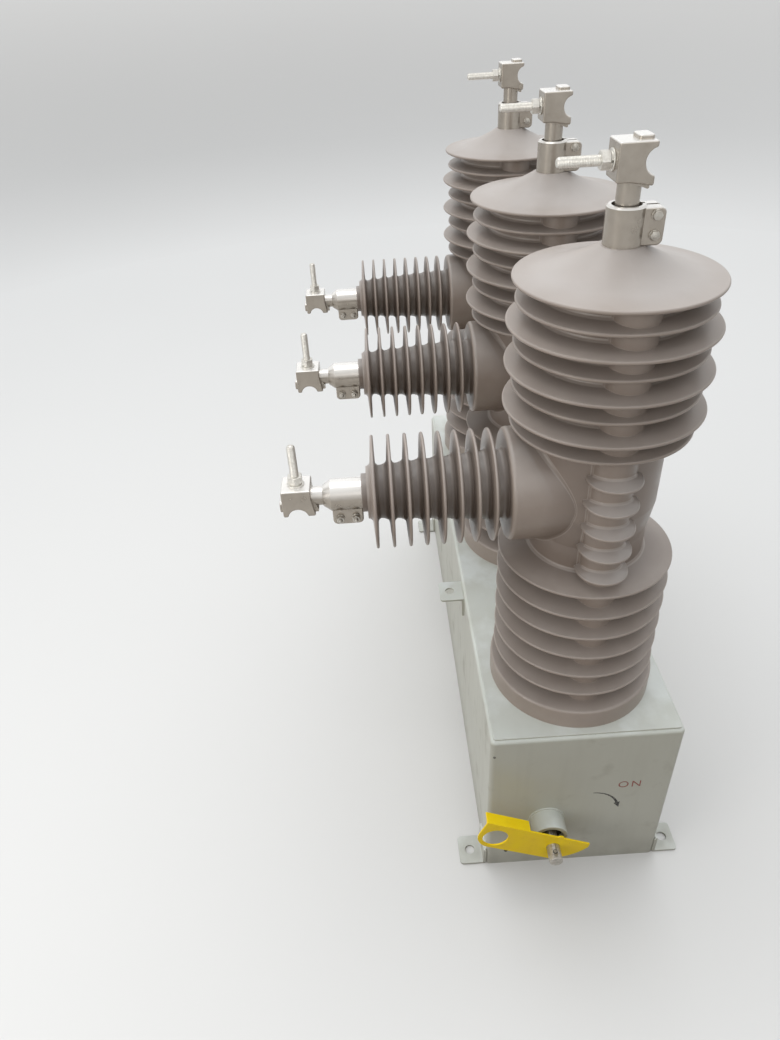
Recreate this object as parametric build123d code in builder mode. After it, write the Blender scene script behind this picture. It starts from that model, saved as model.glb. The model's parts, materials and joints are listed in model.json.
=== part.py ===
from build123d import *
from math import cos, radians, sin
import os

# Outdoor three-pole vacuum circuit breaker, in millimetres.
# Origin: centre of the underside of the mechanism housing. +Z is up, the row of
# poles runs along X, the side terminals point to -Y and the hand lever is on the
# +X end.

# Mechanism housing: a steel shell with a rounded shoulder and an inward flange, a floor,
# and a lid plate that lies on the flange a little inside the shoulder
housing_length = 1054.0
housing_width = 305.0
housing_height = 350.0
wall_sheet = 3.0
corner_radius = 8.0
shoulder_radius = 6.0
flange_width = 22.0
lid_sheet = 3.0
lid_inset = 5.0
lid_corner_radius = 4.0
lid_edge_radius = 0.8
pole_port_radius = 45.0

# Feet and upper lugs: angle brackets welded to the long sides
bracket_length = 53.0
bracket_reach = 45.0
bracket_leg = 43.0
bracket_sheet = 4.0
bracket_corner = 6.0
bracket_hole_radius = 8.5
bracket_hole_offset = 25.0
foot_end_inset = 27.5
lug_drop = 9.0
lug_from_mid_bay = 28.0

# Poles: heights are steps from one feature to the next, radii are from the pole's axis
pole_spacing = 380.0
pole_names = ("a", "b", "c")
shed_lip = 5.0
base_radius = 130.8
base_height = 35.7
base_edge_radius = 4.0
base_to_first_shed = 33.2
lower_core_radius = 83.0
lower_shed_radius = 126.5
lower_shed_count = 6
lower_shed_pitch = 39.2
lower_shed_rise = 9.0
waist_to_taper = 53.1
waist_taper_height = 48.0
waist_to_bushing = 117.9
waist_to_upper_sheds = 211.8
upper_core_radius = 90.0
large_shed_radius = 129.7
small_shed_radius = 119.5
upper_shed_count = 7
upper_shed_pitch = 27.2
upper_shed_rise = 5.0
cap_shed_radius = 124.7
cap_rise = 37.9
cap_seat_radius = 26.0
cap_flare_out = 38.0
cap_flare_drop = 19.0

# Horizontal bushing of each pole: distances are steps along its axis
boss_radius = 80.0
boss_reach = 124.5
boss_edge_radius = 6.0
boss_to_first_shed = 21.6
bushing_shed_radius = 79.6
bushing_shed_count = 8
bushing_shed_pitch = 23.0
bushing_shed_lip = 4.0
bushing_shed_rise = 3.0
bushing_root_radius = 48.0
bushing_tip_radius = 37.0
bushing_end_length = 15.9
bushing_end_radius = 27.0

# Rib with half-moon sheds on both sides of each pole
rib_inset = 10.0
rib_radius = 28.5
half_moon_radius = 36.0
half_moon_heel = 9.0
half_moon_count = 5
half_moon_pitch = 37.2
half_moon_lip = 5.0
half_moon_rise = 7.0
waist_to_half_moons = 24.0

# Terminals: split clamp, connector block and stud, alike on top and side
neck_radius = 13.4
clamp_radius = 22.7
clamp_bore_gap = 0.1
clamp_mouth_radius = 17.0
clamp_mouth_depth = 12.0
top_clamp_length = 44.0
top_clamp_shoulder = (2.0, 2.0)
top_ear_length = 42.0
side_clamp_length = 54.5
side_clamp_shoulder = (11.0, 7.5)
side_ear_length = 43.0
ear_gap = 4.0
ear_thickness = 13.0
ear_reach = 41.5
ear_corner_radius = 7.0
ear_edge_radius = 2.0
block_start = 70.0
block_height = 41.0
block_half_width = 21.0
block_stud_side = 21.7
block_groove_side = 20.0
block_flare = 4.5
block_flare_start = -6.0
block_corner_radius = 2.5
block_face_radius = 2.0
groove_radius = 14.0
groove_floor = 8.5
pad_half_width = 13.0
pad_flare = 9.5
pad_length = 17.0
pad_height = 4.5
pad_edge_radius = 2.0
stud_radius = 6.0
stud_tip = 84.0
stud_chamfer = 1.5
washer_radius = 12.0
washer_thickness = 3.3
nut_across_flats = 19.0
nut_height = 11.0

# Hand lever on the +X end; reach is toward the hook, height across the lever
lever_pivot_y = -51.0
lever_pivot_z = 133.0
lever_rest_angle = 25.7
lever_gap = 18.0
lever_sheet = 3.0
lever_top = 28.0
lever_end_reach = 136.0
ring_reach = 104.5
ring_drop = 4.5
ring_radius = 30.0
hook_drop = 7.0
hook_radius = 21.0
nose_reach = 55.0
nose_bulge = 2.0
nose_drop = 9.0
belly_reach = 8.0
belly_mid = (-41.5, -9.5)
nose_corner_radius = 3.0
nub_half_width = 6.0
nub_rise = 3.0
flange_start = 57.0
flange_depth = 20.0
shaft_radius = 11.0
shaft_stickout = 26.0
shaft_inside = 40.0
shaft_chamfer = 1.0
shaft_bore_gap = 0.1
shaft_wall_gap = 1.0
collar_radius = 29.0
collar_length = 35.0
collar_edge_radius = 2.0
collar_recess_radius = 22.0
collar_recess_depth = 16.0
seal_thickness = 5.0
seal_gap = 0.3
pin_radius = 2.5
pin_overhang = 1.0
pin_from_tip = 12.0

# Derived places of the housing
half_length = housing_length / 2
half_width = housing_width / 2
shell_top = housing_height - lid_sheet
pole_places = (-pole_spacing, 0.0, pole_spacing)
foot_hole_x = half_length - foot_end_inset
lug_hole_x = pole_spacing / 2 - lug_from_mid_bay
lug_bottom = housing_height - lug_drop - bracket_sheet
bolt_row_y = half_width + bracket_hole_offset

# Derived heights of the poles and distances along the bushing
base_top = housing_height + base_height
lower_shed_first = base_top + base_to_first_shed
waist_bottom = lower_shed_first + (lower_shed_count - 1) * lower_shed_pitch
bushing_height = waist_bottom + waist_to_bushing
upper_shed_first = waist_bottom + waist_to_upper_sheds
cap_rim = upper_shed_first + upper_shed_count * upper_shed_pitch
cap_top = cap_rim + cap_rise
bushing_shed_first = boss_reach + boss_to_first_shed
bushing_shed_last = bushing_shed_first + (bushing_shed_count - 1) * bushing_shed_pitch
bushing_end = bushing_shed_last + bushing_end_length
rib_offset = upper_core_radius - rib_inset
half_moon_offset = upper_core_radius
half_moon_core = rib_offset + rib_radius - half_moon_offset

# Derived places of the lever
collar_end = half_length + collar_length
lever_plane_x = collar_end + lever_gap
shaft_tip = lever_plane_x + shaft_stickout

os.makedirs("parts", exist_ok=True)


def save(piece, label):
    piece.part.label = label
    export_step(piece.part, f"parts/{label}.step")


# Housing

with BuildPart() as housing_shell:
    with BuildSketch() as shell_outline:
        Rectangle(housing_length, housing_width)
        fillet(shell_outline.vertices(), corner_radius)
    extrude(amount=shell_top)
    fillet(housing_shell.faces().sort_by(Axis.Z)[-1].edges(), shoulder_radius)
    with BuildSketch() as shell_inside:
        Rectangle(housing_length - 2 * wall_sheet, housing_width - 2 * wall_sheet)
        fillet(shell_inside.vertices(), corner_radius - wall_sheet)
    extrude(amount=shell_top - wall_sheet, mode=Mode.SUBTRACT)
    with BuildSketch() as shell_mouth:
        Rectangle(housing_length - 2 * flange_width, housing_width - 2 * flange_width)
    extrude(amount=shell_top, mode=Mode.SUBTRACT)
    with BuildSketch(Plane.YZ.offset(half_length - 2 * wall_sheet)):
        with Locations((lever_pivot_y, lever_pivot_z)):
            Circle(shaft_radius + shaft_wall_gap)
    extrude(amount=3 * wall_sheet, mode=Mode.SUBTRACT)
save(housing_shell, "housing_shell")

with BuildPart() as housing_floor:
    with BuildSketch() as floor_section:
        Rectangle(housing_length - 2 * wall_sheet, housing_width - 2 * wall_sheet)
        fillet(floor_section.vertices(), corner_radius - wall_sheet)
    extrude(amount=wall_sheet)
save(housing_floor, "housing_floor")

with BuildPart() as housing_lid:
    with BuildSketch(Plane.XY.offset(shell_top)) as lid_outline:
        Rectangle(housing_length - 2 * lid_inset, housing_width - 2 * lid_inset)
        fillet(lid_outline.vertices(), lid_corner_radius)
        with Locations(*[(x, 0) for x in pole_places]):
            Circle(pole_port_radius, mode=Mode.SUBTRACT)
    extrude(amount=lid_sheet)
    lid_rim = housing_lid.faces().sort_by(Axis.Z)[-1].outer_wire().edges()
    fillet(lid_rim, lid_edge_radius)
save(housing_lid, "housing_lid")


# Angle brackets: one flat, drilled leg and one leg against the side wall

def bracket(label, hole_x, side, flat_bottom, leg_bottom):
    bend_face = side * (half_width + bracket_sheet)
    with BuildPart() as piece:
        with BuildSketch(Plane.XY.offset(flat_bottom)) as flat:
            with Locations((hole_x, side * (half_width + bracket_reach / 2))):
                Rectangle(bracket_length, bracket_reach)
            fillet(flat.vertices().sort_by(Axis.Y)[::side][-2:], bracket_corner)
            with Locations((hole_x, side * bolt_row_y)):
                Circle(bracket_hole_radius, mode=Mode.SUBTRACT)
        extrude(amount=bracket_sheet)
        with BuildSketch(Plane.XY.offset(leg_bottom)):
            with Locations((hole_x, side * (half_width + bracket_sheet / 2))):
                Rectangle(bracket_length, bracket_sheet)
        extrude(amount=bracket_leg)
        inside_z = flat_bottom if leg_bottom < flat_bottom else flat_bottom + bracket_sheet
        along_bend = piece.edges().filter_by(Axis.X)
        fillet(along_bend.sort_by_distance((hole_x, bend_face, inside_z))[0], bracket_sheet / 2)
    save(piece, label)


side_names = {-1: "front", 1: "back"}
end_names = {-1: "left", 1: "right"}
for end in (-1, 1):
    for side in (-1, 1):
        place = f"{side_names[side]}_{end_names[end]}"
        bracket(f"foot_{place}", end * foot_hole_x, side, 0.0, 0.0)
        lug_leg_bottom = lug_bottom + bracket_sheet - bracket_leg
        bracket(f"lug_{place}", end * lug_hole_x, side, lug_bottom, lug_leg_bottom)


# Poles: one epoxy casting each

def shed(low_core, rim, radius, lip, high_core):
    """One shed of a half section: underside, half-round rim and top, given upward."""
    round_start = (radius - lip / 2, rim)
    round_end = (radius - lip / 2, rim + lip)
    Line(low_core, round_start)
    ThreePointArc(round_start, (radius, rim + lip / 2), round_end)
    Line(round_end, high_core)
    return high_core


def stack(start, core, rims, radii, lip, rise):
    """Sheds one above the other on a straight core; returns the end of the line."""
    for rim, radius in zip(rims, radii):
        low_core = (core, rim - rise / 3)
        Line(start, low_core)
        start = shed(low_core, rim, radius, lip, (core, rim + lip + rise))
    return start


def pole_outline():
    """Half section of the vertical casting: radius across, height up."""
    lower_rims = [lower_shed_first + i * lower_shed_pitch for i in range(lower_shed_count)]
    upper_rims = [upper_shed_first + i * upper_shed_pitch for i in range(upper_shed_count)]
    upper_radii = [large_shed_radius if i % 2 else small_shed_radius for i in range(upper_shed_count)]
    base_edge = base_edge_radius * (1 - cos(radians(45)))
    base_foot = Polyline(
        (0, housing_height),
        (base_radius, housing_height),
        (base_radius, base_top - base_edge_radius),
    )
    base_round = ThreePointArc(
        base_foot @ 1,
        (base_radius - base_edge, base_top - base_edge),
        (base_radius - base_edge_radius, base_top),
    )
    base_root = Line(base_round @ 1, (lower_core_radius, base_top + lower_shed_rise / 2))
    waist = stack(
        base_root @ 1,
        lower_core_radius,
        lower_rims,
        [lower_shed_radius] * lower_shed_count,
        shed_lip,
        lower_shed_rise,
    )
    taper = Polyline(
        waist,
        (lower_core_radius, waist_bottom + waist_to_taper),
        (upper_core_radius, waist_bottom + waist_to_taper + waist_taper_height),
    )
    top = stack(taper @ 1, upper_core_radius, upper_rims, upper_radii, shed_lip, upper_shed_rise)
    cap_root = Line(top, (upper_core_radius, cap_rim + upper_shed_rise / 3))
    cap_under = Line(cap_root @ 1, (cap_shed_radius - shed_lip / 2, cap_rim))
    cap_round = ThreePointArc(
        cap_under @ 1,
        (cap_shed_radius, cap_rim + shed_lip / 2),
        (cap_shed_radius - shed_lip / 2, cap_rim + shed_lip),
    )
    flare = ThreePointArc(
        cap_round @ 1,
        (cap_seat_radius + cap_flare_out, cap_top - cap_flare_drop),
        (cap_seat_radius, cap_top),
    )
    Polyline(flare @ 1, (0, cap_top), (0, housing_height))


def bushing_outline():
    """Half section of the horizontal bushing: distance out along it, radius up."""
    boss_edge = boss_edge_radius * (1 - cos(radians(45)))
    boss_side = Polyline((0, 0), (0, boss_radius), (boss_reach - boss_edge_radius, boss_radius))
    boss_round = ThreePointArc(
        boss_side @ 1,
        (boss_reach - boss_edge, boss_radius - boss_edge),
        (boss_reach, boss_radius - boss_edge_radius),
    )
    start = (boss_reach, bushing_root_radius)
    Line(boss_round @ 1, start)
    for i in range(bushing_shed_count):
        share = i / (bushing_shed_count - 1)
        core = bushing_root_radius + share * (bushing_tip_radius - bushing_root_radius)
        back = bushing_shed_first + i * bushing_shed_pitch - bushing_shed_lip
        front = back + bushing_shed_lip
        round_from = bushing_shed_radius - bushing_shed_lip / 2
        Line(start, (back - bushing_shed_rise / 3, core))
        Line((back - bushing_shed_rise / 3, core), (back, round_from))
        ThreePointArc(
            (back, round_from),
            (back + bushing_shed_lip / 2, bushing_shed_radius),
            (front, round_from),
        )
        start = (front + bushing_shed_rise, core)
        Line((front, round_from), start)
    Polyline(
        start,
        (start[0], bushing_end_radius),
        (bushing_end, bushing_end_radius),
        (bushing_end, 0),
        (0, 0),
    )


def half_moon_outline(rim):
    """Half section of one half-moon shed: distance from its own axis, height up."""
    high_core = (half_moon_core, rim + half_moon_lip + half_moon_rise)
    shed((0, rim), rim, half_moon_radius, half_moon_lip, high_core)
    Polyline(high_core, (0, high_core[1]), (0, rim))


def insulator(label, pole_x):
    section = Plane(origin=(pole_x, 0, 0), x_dir=(1, 0, 0), z_dir=(0, -1, 0))
    side_section = Plane(origin=(pole_x, 0, bushing_height), x_dir=(0, -1, 0), z_dir=(1, 0, 0))
    with BuildPart() as piece:
        with BuildSketch(section):
            with BuildLine():
                pole_outline()
            make_face()
        revolve(axis=Axis((pole_x, 0, 0), (0, 0, 1)))
        with BuildSketch(side_section):
            with BuildLine():
                bushing_outline()
            make_face()
        revolve(axis=Axis((pole_x, 0, bushing_height), (0, -1, 0)))
        with BuildSketch(Plane.XY.offset(base_top)):
            with Locations((pole_x - rib_offset, 0), (pole_x + rib_offset, 0)):
                Circle(rib_radius)
        extrude(amount=cap_rim - base_top + shed_lip / 2)
        for side in (-1, 1):
            moon_x = pole_x + side * half_moon_offset
            moon_section = Plane(origin=(moon_x, 0, 0), x_dir=(0, 1, 0), z_dir=(1, 0, 0))
            for i in range(half_moon_count):
                rim = waist_bottom + waist_to_half_moons + i * half_moon_pitch
                with BuildSketch(moon_section):
                    with BuildLine():
                        half_moon_outline(rim)
                    make_face()
                revolve(axis=Axis((moon_x, 0, 0), (0, 0, -side)), revolution_arc=180)
                with BuildSketch(moon_section):
                    with BuildLine():
                        half_moon_outline(rim)
                    make_face()
                    mirror(about=Plane.YZ)
                extrude(amount=-side * half_moon_heel)
    save(piece, label)


# Terminals, made on a seat plane: local Z runs out along the neck, local Y to the groove

def across(seat, at_x):
    """The plane across the seat's X: sketch x is local Y, sketch y is local Z."""
    return Plane(origin=seat.from_local_coords((at_x, 0, 0)), x_dir=seat.y_dir, z_dir=seat.x_dir)


def terminal_clamp(label, seat, length, shoulder, ear_length, mouth_radius):
    shoulder_length, shoulder_drop = shoulder
    ear_half_width = ear_gap / 2 + ear_thickness
    ear_tip = seat.from_local_coords((0, ear_reach, ear_length / 2))
    with BuildPart() as piece:
        with BuildSketch(across(seat, -ear_half_width)):
            with BuildLine():
                ear = FilletPolyline(
                    (0, 0),
                    (ear_reach, 0),
                    (ear_reach, ear_length),
                    (0, ear_length),
                    radius=ear_corner_radius,
                )
                Line(ear @ 1, ear @ 0)
            make_face()
        extrude(amount=2 * ear_half_width)
        sides = piece.faces().filter_by(lambda f: abs(f.normal_at().dot(seat.x_dir)) > 0.99)
        fillet(sides.edges().sort_by_distance(ear_tip)[:6], ear_edge_radius)
        with BuildSketch(across(seat, 0)):
            with BuildLine():
                Polyline(
                    (0, 0),
                    (clamp_radius, 0),
                    (clamp_radius, length - shoulder_length),
                    (clamp_radius - shoulder_drop, length),
                    (0, length),
                    close=True,
                )
            make_face()
        revolve(axis=Axis(seat.origin, seat.z_dir))
        with BuildSketch(across(seat, -ear_gap / 2)):
            with BuildLine():
                Polyline((0, 0), (ear_reach, 0), (ear_reach, length), (0, length), close=True)
            make_face()
        extrude(amount=ear_gap, mode=Mode.SUBTRACT)
        with BuildSketch(seat):
            Circle(neck_radius + clamp_bore_gap)
        extrude(amount=length, mode=Mode.SUBTRACT)
        if mouth_radius:
            with BuildSketch(seat.offset(length - clamp_mouth_depth)):
                Circle(mouth_radius)
            extrude(amount=clamp_mouth_depth, mode=Mode.SUBTRACT)
    save(piece, label)


def terminal_connector(label, seat):
    block_end = block_start + block_height
    groove_centre_z = block_start + block_height / 2
    with BuildPart() as piece:
        with BuildSketch(across(seat, -block_half_width)) as outline:
            with BuildLine():
                Polyline(
                    (-block_stud_side, block_start),
                    (block_flare_start, block_start),
                    (block_groove_side, block_start - block_flare),
                    (block_groove_side, block_end),
                    (-block_stud_side, block_end),
                    close=True,
                )
            make_face()
            with Locations((groove_floor + groove_radius, groove_centre_z)):
                Circle(groove_radius, mode=Mode.SUBTRACT)
            fillet(outline.vertices(), block_corner_radius)
        extrude(amount=2 * block_half_width)
        along_x = piece.faces().sort_by(Axis(seat.origin, seat.x_dir))
        fillet(along_x[0].edges() + along_x[-1].edges(), block_face_radius)
        with BuildSketch(seat.offset(block_end - pad_edge_radius)) as pad:
            with Locations((0, block_groove_side - block_corner_radius - pad_length / 2)):
                Rectangle(2 * pad_half_width, pad_length)
            fillet(pad.vertices(), 2 * pad_edge_radius)
        extrude(amount=pad_height + pad_edge_radius)
        pad_face = piece.faces().sort_by(Axis(seat.origin, seat.z_dir))[-1]
        fillet(pad_face.edges(), pad_edge_radius)
        with BuildSketch(across(seat, -pad_half_width)) as heel:
            with BuildLine():
                Polyline(
                    (block_flare_start, block_start),
                    (block_groove_side - pad_edge_radius, block_start - pad_flare),
                    (block_groove_side - pad_edge_radius, block_start + pad_edge_radius),
                    (block_flare_start, block_start + pad_edge_radius),
                    close=True,
                )
            make_face()
        extrude(amount=2 * pad_half_width)
        heel_tip = seat.from_local_coords((0, block_groove_side, block_start - pad_flare))
        fillet(piece.edges().sort_by_distance(heel_tip)[0], pad_edge_radius)
        with BuildSketch(seat):
            Circle(neck_radius)
        extrude(amount=block_start)
    save(piece, label)


def terminal_stud(label, seat):
    centre_z = block_start + block_height / 2
    face = Plane(
        origin=seat.from_local_coords((0, -block_stud_side, centre_z)),
        x_dir=seat.x_dir,
        z_dir=-seat.y_dir,
    )
    with BuildPart() as piece:
        with BuildSketch(face):
            Circle(stud_radius)
        extrude(amount=stud_tip - block_stud_side)
        tip = piece.faces().sort_by(Axis(face.origin, face.z_dir))[-1].edges()
        chamfer(tip, stud_chamfer)
        with BuildSketch(face):
            Circle(washer_radius)
        extrude(amount=washer_thickness)
        with BuildSketch(face.offset(washer_thickness)):
            RegularPolygon(nut_across_flats / 2, 6, major_radius=False)
        extrude(amount=nut_height)
    save(piece, label)


for name, pole_x in zip(pole_names, pole_places):
    insulator(f"pole_{name}_insulator", pole_x)
    top_seat = Plane(origin=(pole_x, 0, cap_top), x_dir=(1, 0, 0), z_dir=(0, 0, 1))
    side_seat = Plane(
        origin=(pole_x, -bushing_end, bushing_height), x_dir=(-1, 0, 0), z_dir=(0, -1, 0)
    )
    terminal_clamp(
        f"pole_{name}_top_clamp",
        top_seat,
        top_clamp_length,
        top_clamp_shoulder,
        top_ear_length,
        clamp_mouth_radius,
    )
    terminal_clamp(
        f"pole_{name}_side_clamp",
        side_seat,
        side_clamp_length,
        side_clamp_shoulder,
        side_ear_length,
        None,
    )
    for end_name, seat in (("top", top_seat), ("side", side_seat)):
        terminal_connector(f"pole_{name}_{end_name}_connector", seat)
        terminal_stud(f"pole_{name}_{end_name}_stud", seat)


# Hand lever, its shaft and the collar that carries the shaft

def on_shaft(at_x):
    """The plane across the lever shaft, facing out of the housing end."""
    return Plane(origin=(at_x, lever_pivot_y, lever_pivot_z), x_dir=(0, 1, 0), z_dir=(1, 0, 0))


with BuildPart() as handle_collar:
    with BuildSketch(on_shaft(half_length)):
        Circle(collar_radius)
        Circle(shaft_radius + shaft_bore_gap, mode=Mode.SUBTRACT)
    extrude(amount=collar_length)
    mouth_edges = handle_collar.faces().sort_by(Axis.X)[-1].edges().sort_by(SortBy.RADIUS)
    fillet(mouth_edges[-1], collar_edge_radius)
    with BuildSketch(on_shaft(collar_end - collar_recess_depth)):
        Circle(collar_recess_radius)
    extrude(amount=collar_recess_depth, mode=Mode.SUBTRACT)
save(handle_collar, "handle_collar")

with BuildPart() as handle_seal:
    with BuildSketch(on_shaft(collar_end - collar_recess_depth)):
        Circle(collar_recess_radius)
        Circle(shaft_radius + seal_gap, mode=Mode.SUBTRACT)
    extrude(amount=seal_thickness)
save(handle_seal, "handle_seal")

pin_place = Plane(origin=(shaft_tip - pin_from_tip, lever_pivot_y, lever_pivot_z))

with BuildPart() as handle_shaft:
    with BuildSketch(on_shaft(half_length - shaft_inside)):
        Circle(shaft_radius)
    extrude(amount=shaft_tip - half_length + shaft_inside)
    chamfer(handle_shaft.faces().sort_by(Axis.X)[-1].edges(), shaft_chamfer)
    with BuildSketch(pin_place):
        Circle(pin_radius)
    extrude(amount=shaft_radius, both=True, mode=Mode.SUBTRACT)
save(handle_shaft, "handle_shaft")

with BuildPart() as handle_pin:
    with BuildSketch(pin_place):
        Circle(pin_radius)
    extrude(amount=shaft_radius + pin_overhang, both=True)
save(handle_pin, "handle_pin")

toward_hook = (0, -cos(radians(lever_rest_angle)), sin(radians(lever_rest_angle)))
lever_back = Plane(
    origin=(lever_plane_x, lever_pivot_y, lever_pivot_z), x_dir=toward_hook, z_dir=(-1, 0, 0)
)

with BuildPart() as handle_lever:
    with BuildSketch(lever_back) as lever_outline:
        with BuildLine():
            ring_bottom = (ring_reach, -ring_drop - ring_radius)
            ring_left = (ring_reach + ring_radius, -ring_drop)
            nose_tip = (-nose_reach - nose_bulge, lever_top - nose_drop)
            belly = (-belly_reach, -ring_drop - ring_radius + nose_bulge)
            Polyline(
                ring_left,
                (lever_end_reach, lever_top),
                (nub_half_width, lever_top),
                (nub_half_width / 2, lever_top + nub_rise),
                (-nub_half_width / 2, lever_top + nub_rise),
                (-nub_half_width, lever_top),
                (-nose_reach, lever_top),
                nose_tip,
            )
            ThreePointArc(nose_tip, belly_mid, belly)
            Line(belly, ring_bottom)
            RadiusArc(ring_bottom, ring_left, -ring_radius)
        make_face()
        nose_corner = lever_back.from_local_coords((-nose_reach, lever_top, 0))
        fillet(lever_outline.vertices().sort_by_distance(nose_corner)[0], nose_corner_radius)
        with Locations((ring_reach, -hook_drop)):
            Circle(hook_radius, mode=Mode.SUBTRACT)
        Circle(shaft_radius, mode=Mode.SUBTRACT)
    extrude(amount=lever_sheet)
    with BuildSketch(lever_back):
        with BuildLine():
            Polyline(
                (flange_start, lever_top),
                (lever_end_reach, lever_top),
                (lever_end_reach, lever_top - lever_sheet),
                (flange_start, lever_top - lever_sheet),
                close=True,
            )
        make_face()
    extrude(amount=flange_depth)
save(handle_lever, "handle_lever")
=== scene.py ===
import json
from math import cos, hypot, pi, radians, sin, sqrt, tan

import bmesh
import bpy
from mathutils import Matrix, Vector


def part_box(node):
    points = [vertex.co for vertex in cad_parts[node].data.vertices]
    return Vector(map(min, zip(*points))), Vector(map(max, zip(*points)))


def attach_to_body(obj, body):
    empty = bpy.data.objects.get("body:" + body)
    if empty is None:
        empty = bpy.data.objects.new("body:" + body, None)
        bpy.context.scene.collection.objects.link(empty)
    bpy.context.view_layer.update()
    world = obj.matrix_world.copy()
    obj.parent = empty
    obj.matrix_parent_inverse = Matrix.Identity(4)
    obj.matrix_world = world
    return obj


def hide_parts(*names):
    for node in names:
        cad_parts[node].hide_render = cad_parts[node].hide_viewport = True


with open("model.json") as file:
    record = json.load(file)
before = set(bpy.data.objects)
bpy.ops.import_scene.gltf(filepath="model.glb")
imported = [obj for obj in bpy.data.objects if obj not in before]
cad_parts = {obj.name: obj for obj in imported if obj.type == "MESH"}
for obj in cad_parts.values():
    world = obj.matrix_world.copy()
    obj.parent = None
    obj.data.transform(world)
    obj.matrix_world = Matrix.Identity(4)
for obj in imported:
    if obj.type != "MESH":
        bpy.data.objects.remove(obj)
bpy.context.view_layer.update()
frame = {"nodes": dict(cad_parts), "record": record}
scene = bpy.context.scene
MM = 0.001

# Camera: place and turn fitted to the photograph, in metres
PHOTO_HEIGHT = 1040
FOCAL_PIXELS = 758.22
SENSOR_WIDTH = 36.0
CAMERA_PLACE = Vector((1.2595, -0.2926, 1.3315))
CAMERA_RIGHT = Vector((0.0440, 0.9978, -0.0498))
CAMERA_DOWN = Vector((0.5925, -0.0662, -0.8029))
CAMERA_FORWARD = Vector((-0.8044, 0.0059, -0.5941))

# Pole sizes in millimetres, heights above the floor
POLE_SPACING = 380.0
BASE_TOP = 385.7
LOWER_CORE = 83.0
LOWER_SHEDS = [418.9 + 39.2 * i for i in range(6)]
LOWER_SHED_RADIUS = 126.5
LOWER_SHED_RISE = 9.0
TAPER_FROM = 668.0
TAPER_TO = 716.0
UPPER_CORE = 90.0
UPPER_SHEDS = [826.7 + 27.2 * i for i in range(7)]
UPPER_SHED_RADII = [119.5, 129.7, 119.5, 129.7, 119.5, 129.7, 119.5]
UPPER_SHED_RISE = 5.0
CAP_RIM = 1017.1
SHED_LIP = 5.0
RIB_OFFSET = 80.0
RIB_RADIUS = 28.5
HALF_MOONS = [638.9 + 37.2 * i for i in range(5)]
HALF_MOON_OFFSET = 90.0
HALF_MOON_RADIUS = 36.0
HALF_MOON_RISE = 7.0

# Bushing sizes, distances out from the pole's axis
BUSHING_HEIGHT = 732.8
BOSS_RADIUS = 80.0
BOSS_REACH = 124.5
BUSHING_SHEDS = [146.1 + 23.0 * i for i in range(8)]
BUSHING_SHED_RADIUS = 79.6
BUSHING_SHED_LIP = 4.0
BUSHING_SHED_RISE = 3.0
BUSHING_CORES = [48.0 - 11.0 * i / 7 for i in range(8)]

# Fillets at the roots, each pair above and below a shed
LOWER_FILLETS = (6.5, 4.0)
LAST_LOWER_FILLETS = (5.0, 4.0)
UPPER_FILLETS = (4.5, 3.5)
BUSHING_FILLETS = (6.0, 6.0)
HALF_MOON_FILLETS = (4.0, 2.5)
BOSS_END_FILLET = 6.0
BOSS_ROOT_FILLET = 7.0
RIB_FILLET = 5.0

# Where painted shade, and dust with painted sky light, lie on the epoxy: distances from an
# axis over which they fade, and the band of heights in which the half-moon sheds are dustier and
# painted lighter
POLE_RECESS_SHADE = (88.0, 116.0)
BUSHING_RECESS_SHADE = (50.0, 70.0)
HALF_MOON_EDGE = (100.0, 108.0)
HALF_MOON_BAND_LOW = (628.0, 638.0)
HALF_MOON_BAND_HIGH = (806.0, 816.0)

# Heights over which the splashed dirt and painted shade on the housing fade
SPLASH_AND_SHADE = (4.0, 60.0)

# Terminal sizes, from the seat of the neck
BLOCK_CENTRE = 90.5
STUD_SIDE = 21.7
STUD_LENGTH = 62.3
STUD_RADIUS = 6.0
THREAD_PITCH = 1.75
EAR_FACE = 15.0
EAR_BOLT_Y = 30.5
TOP_BOLTS = (12.0, 34.0)
SIDE_BOLTS = (10.5, 32.5)
BOLT_RADIUS = 3.0
BOLT_PITCH = 1.0
BOLT_TAIL = 10.5
BOLT_ACROSS = 10.0
BOLT_WASHER = 1.2

# Lever and collar; HOUSING_END is the outside of the end wall
LEVER_PIVOT = Vector((0, -51.0, 133.0))
HOUSING_END = 527.0
COLLAR_RADIUS = 29.0

# Heights over which the top of the backdrop's wall fades out
WALL_FADE = (300.0, 2200.0)

# Sky light: the way to its brightest part, and its strength away from and at that part
SKY_TOWARDS = Vector((-0.66, -0.10, 0.74)).normalized()
SKY_SPREAD = (0.2, 1.0)
SKY_STRENGTH = (0.44, 1.95)


def srgb(red, green, blue):
    """A screen colour from 0 to 255 as the linear colour of a shader."""
    def linear(level):
        level /= 255
        return level / 12.92 if level <= 0.04045 else ((level + 0.055) / 1.055) ** 2.4
    return (linear(red), linear(green), linear(blue), 1.0)


# Materials

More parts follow.
